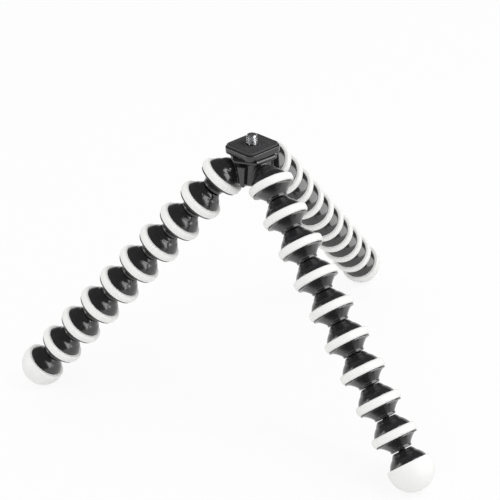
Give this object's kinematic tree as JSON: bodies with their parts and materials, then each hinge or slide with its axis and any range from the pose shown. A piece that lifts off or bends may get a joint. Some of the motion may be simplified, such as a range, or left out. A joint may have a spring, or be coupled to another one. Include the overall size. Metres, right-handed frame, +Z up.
{
  "type": "flexible leg tripod",
  "caption": "Small camera tripod whose legs are chains of ball joints with soft grip rings and round rubber feet, under a release plate with a camera screw.",
  "frame": {"origin": "on the camera screw's axis, at the top of the rubber pad", "axes": "+Z up along the camera screw, -X along the hub's left arm seen from above, +Y towards the back leg"},
  "size_m": [0.2338, 0.2576, 0.1625],
  "materials": {
    "black_plastic": "satin moulded nylon",
    "gloss_black_plastic": "polished moulded nylon",
    "white_rubber": "soft matt overmoulded rubber",
    "grey_rubber": "ribbed dark rubber",
    "steel": "bright plated screw"
  },
  "bodies": {
    "hub": {"hub_body": "black_plastic", "hub_grip_rings": "white_rubber"},
    "lock_collar": {"lock_collar": "gloss_black_plastic"},
    "release_plate": {"quick_release_plate": "gloss_black_plastic", "plate_pad": "grey_rubber"},
    "camera_screw": {"camera_screw": "steel"},
    "left_leg_1": {"left_leg_link_1": "black_plastic", "left_leg_grip_ring_1": "white_rubber"},
    "left_leg_2": {"left_leg_link_2": "black_plastic", "left_leg_grip_ring_2": "white_rubber"},
    "left_leg_3": {"left_leg_link_3": "black_plastic", "left_leg_grip_ring_3": "white_rubber"},
    "left_leg_4": {"left_leg_link_4": "black_plastic", "left_leg_grip_ring_4": "white_rubber"},
    "left_leg_5": {"left_leg_link_5": "black_plastic", "left_leg_grip_ring_5": "white_rubber"},
    "left_leg_6": {"left_leg_link_6": "black_plastic", "left_leg_grip_ring_6": "white_rubber"},
    "left_leg_7": {"left_leg_link_7": "black_plastic", "left_leg_grip_ring_7": "white_rubber"},
    "left_leg_8": {"left_leg_link_8": "black_plastic", "left_leg_grip_ring_8": "white_rubber"},
    "left_leg_foot": {"left_leg_foot_link": "black_plastic", "left_leg_foot": "white_rubber"},
    "front_leg_1": {"front_leg_link_1": "black_plastic", "front_leg_grip_ring_1": "white_rubber"},
    "front_leg_2": {"front_leg_link_2": "black_plastic", "front_leg_grip_ring_2": "white_rubber"},
    "front_leg_3": {"front_leg_link_3": "black_plastic", "front_leg_grip_ring_3": "white_rubber"},
    "front_leg_4": {"front_leg_link_4": "black_plastic", "front_leg_grip_ring_4": "white_rubber"},
    "front_leg_5": {"front_leg_link_5": "black_plastic", "front_leg_grip_ring_5": "white_rubber"},
    "front_leg_6": {"front_leg_link_6": "black_plastic", "front_leg_grip_ring_6": "white_rubber"},
    "front_leg_7": {"front_leg_link_7": "black_plastic", "front_leg_grip_ring_7": "white_rubber"},
    "front_leg_8": {"front_leg_link_8": "black_plastic", "front_leg_grip_ring_8": "white_rubber"},
    "front_leg_foot": {"front_leg_foot_link": "black_plastic", "front_leg_foot": "white_rubber"},
    "back_leg_1": {"back_leg_link_1": "black_plastic", "back_leg_grip_ring_1": "white_rubber"},
    "back_leg_2": {"back_leg_link_2": "black_plastic", "back_leg_grip_ring_2": "white_rubber"},
    "back_leg_3": {"back_leg_link_3": "black_plastic", "back_leg_grip_ring_3": "white_rubber"},
    "back_leg_4": {"back_leg_link_4": "black_plastic", "back_leg_grip_ring_4": "white_rubber"},
    "back_leg_5": {"back_leg_link_5": "black_plastic", "back_leg_grip_ring_5": "white_rubber"},
    "back_leg_6": {"back_leg_link_6": "black_plastic", "back_leg_grip_ring_6": "white_rubber"},
    "back_leg_7": {"back_leg_link_7": "black_plastic", "back_leg_grip_ring_7": "white_rubber"},
    "back_leg_8": {"back_leg_link_8": "black_plastic", "back_leg_grip_ring_8": "white_rubber"},
    "back_leg_foot": {"back_leg_foot_link": "black_plastic", "back_leg_foot": "white_rubber"}
  },
  "joints": [
    {"name": "collar_turn", "type": "hinge", "parent": "hub", "child": "lock_collar", "pos_m": [0, 0, -0.0066], "axis": [0, 0, 1], "range_deg": [0, 90]},
    {"name": "plate_lift", "type": "slide", "parent": "hub", "child": "release_plate", "axis": [0, 0, 1], "range_m": [0, 0.015]},
    {"name": "screw_turn", "type": "hinge", "parent": "release_plate", "child": "camera_screw", "pos_m": [0, 0, 0], "axis": [0, 0, 1], "continuous": true},
    {"name": "left_leg_joint_1", "type": "hinge", "parent": "hub", "child": "left_leg_1", "pos_m": [-0.02827, 0, -0.02992], "axis": [-0.153, -0.9882, 0], "range_deg": [-25, 25]},
    {"name": "left_leg_joint_2", "type": "hinge", "parent": "left_leg_1", "child": "left_leg_2", "pos_m": [-0.04112, 0.00199, -0.04376], "axis": [0.7204, -0.1115, -0.6845], "range_deg": [-25, 25]},
    {"name": "left_leg_joint_3", "type": "hinge", "parent": "left_leg_2", "child": "left_leg_3", "pos_m": [-0.05398, 0.00398, -0.05761], "axis": [0.153, 0.9882, 0], "range_deg": [-25, 25]},
    {"name": "left_leg_joint_4", "type": "hinge", "parent": "left_leg_3", "child": "left_leg_4", "pos_m": [-0.06683, 0.00597, -0.07147], "axis": [-0.7204, 0.1115, 0.6845], "range_deg": [-25, 25]},
    {"name": "left_leg_joint_5", "type": "hinge", "parent": "left_leg_4", "child": "left_leg_5", "pos_m": [-0.07968, 0.00796, -0.08532], "axis": [-0.153, -0.9882, 0], "range_deg": [-25, 25]},
    {"name": "left_leg_joint_6", "type": "hinge", "parent": "left_leg_5", "child": "left_leg_6", "pos_m": [-0.09254, 0.00995, -0.09917], "axis": [0.7204, -0.1115, -0.6845], "range_deg": [-25, 25]},
    {"name": "left_leg_joint_7", "type": "hinge", "parent": "left_leg_6", "child": "left_leg_7", "pos_m": [-0.10539, 0.01194, -0.11302], "axis": [0.153, 0.9882, 0], "range_deg": [-25, 25]},
    {"name": "left_leg_joint_8", "type": "hinge", "parent": "left_leg_7", "child": "left_leg_8", "pos_m": [-0.11824, 0.01393, -0.12687], "axis": [-0.7204, 0.1115, 0.6845], "range_deg": [-25, 25]},
    {"name": "left_leg_joint_9", "type": "hinge", "parent": "left_leg_8", "child": "left_leg_foot", "pos_m": [-0.13109, 0.01592, -0.14072], "axis": [-0.153, -0.9882, 0], "range_deg": [-25, 25]},
    {"name": "front_leg_joint_1", "type": "hinge", "parent": "hub", "child": "front_leg_1", "pos_m": [0.01413, -0.02448, -0.02992], "axis": [0.831, 0.5563, 0], "range_deg": [-25, 25]},
    {"name": "front_leg_joint_2", "type": "hinge", "parent": "front_leg_1", "child": "front_leg_2", "pos_m": [0.02137, -0.03529, -0.04376], "axis": [-0.4055, 0.6058, -0.6845], "range_deg": [-25, 25]},
    {"name": "front_leg_joint_3", "type": "hinge", "parent": "front_leg_2", "child": "front_leg_3", "pos_m": [0.0286, -0.0461, -0.05761], "axis": [-0.831, -0.5563, 0], "range_deg": [-25, 25]},
    {"name": "front_leg_joint_4", "type": "hinge", "parent": "front_leg_3", "child": "front_leg_4", "pos_m": [0.03584, -0.0569, -0.07147], "axis": [0.4055, -0.6058, 0.6845], "range_deg": [-25, 25]},
    {"name": "front_leg_joint_5", "type": "hinge", "parent": "front_leg_4", "child": "front_leg_5", "pos_m": [0.04308, -0.06771, -0.08532], "axis": [0.831, 0.5563, 0], "range_deg": [-25, 25]},
    {"name": "front_leg_joint_6", "type": "hinge", "parent": "front_leg_5", "child": "front_leg_6", "pos_m": [0.05031, -0.07852, -0.09917], "axis": [-0.4055, 0.6058, -0.6845], "range_deg": [-25, 25]},
    {"name": "front_leg_joint_7", "type": "hinge", "parent": "front_leg_6", "child": "front_leg_7", "pos_m": [0.05755, -0.08933, -0.11302], "axis": [-0.831, -0.5563, 0], "range_deg": [-25, 25]},
    {"name": "front_leg_joint_8", "type": "hinge", "parent": "front_leg_7", "child": "front_leg_8", "pos_m": [0.06478, -0.10014, -0.12687], "axis": [0.4055, -0.6058, 0.6845], "range_deg": [-25, 25]},
    {"name": "front_leg_joint_9", "type": "hinge", "parent": "front_leg_8", "child": "front_leg_foot", "pos_m": [0.07202, -0.11095, -0.14072], "axis": [0.831, 0.5563, 0], "range_deg": [-25, 25]},
    {"name": "back_leg_joint_1", "type": "hinge", "parent": "hub", "child": "back_leg_1", "pos_m": [0.01413, 0.02448, -0.02992], "axis": [-0.8746, 0.4848, 0], "range_deg": [-25, 25]},
    {"name": "back_leg_joint_2", "type": "hinge", "parent": "back_leg_1", "child": "back_leg_2", "pos_m": [0.02044, 0.03586, -0.04376], "axis": [-0.3534, -0.6376, -0.6845], "range_deg": [-25, 25]},
    {"name": "back_leg_joint_3", "type": "hinge", "parent": "back_leg_2", "child": "back_leg_3", "pos_m": [0.02675, 0.04723, -0.05761], "axis": [0.8746, -0.4848, 0], "range_deg": [-25, 25]},
    {"name": "back_leg_joint_4", "type": "hinge", "parent": "back_leg_3", "child": "back_leg_4", "pos_m": [0.03305, 0.05861, -0.07147], "axis": [0.3534, 0.6376, 0.6845], "range_deg": [-25, 25]},
    {"name": "back_leg_joint_5", "type": "hinge", "parent": "back_leg_4", "child": "back_leg_5", "pos_m": [0.03936, 0.06998, -0.08532], "axis": [-0.8746, 0.4848, 0], "range_deg": [-25, 25]},
    {"name": "back_leg_joint_6", "type": "hinge", "parent": "back_leg_5", "child": "back_leg_6", "pos_m": [0.04566, 0.08136, -0.09917], "axis": [-0.3534, -0.6376, -0.6845], "range_deg": [-25, 25]},
    {"name": "back_leg_joint_7", "type": "hinge", "parent": "back_leg_6", "child": "back_leg_7", "pos_m": [0.05197, 0.09273, -0.11302], "axis": [0.8746, -0.4848, 0], "range_deg": [-25, 25]},
    {"name": "back_leg_joint_8", "type": "hinge", "parent": "back_leg_7", "child": "back_leg_8", "pos_m": [0.05827, 0.10411, -0.12687], "axis": [0.3534, 0.6376, 0.6845], "range_deg": [-25, 25]},
    {"name": "back_leg_joint_9", "type": "hinge", "parent": "back_leg_8", "child": "back_leg_foot", "pos_m": [0.06458, 0.11549, -0.14072], "axis": [-0.8746, 0.4848, 0], "range_deg": [-25, 25]}
  ]
}
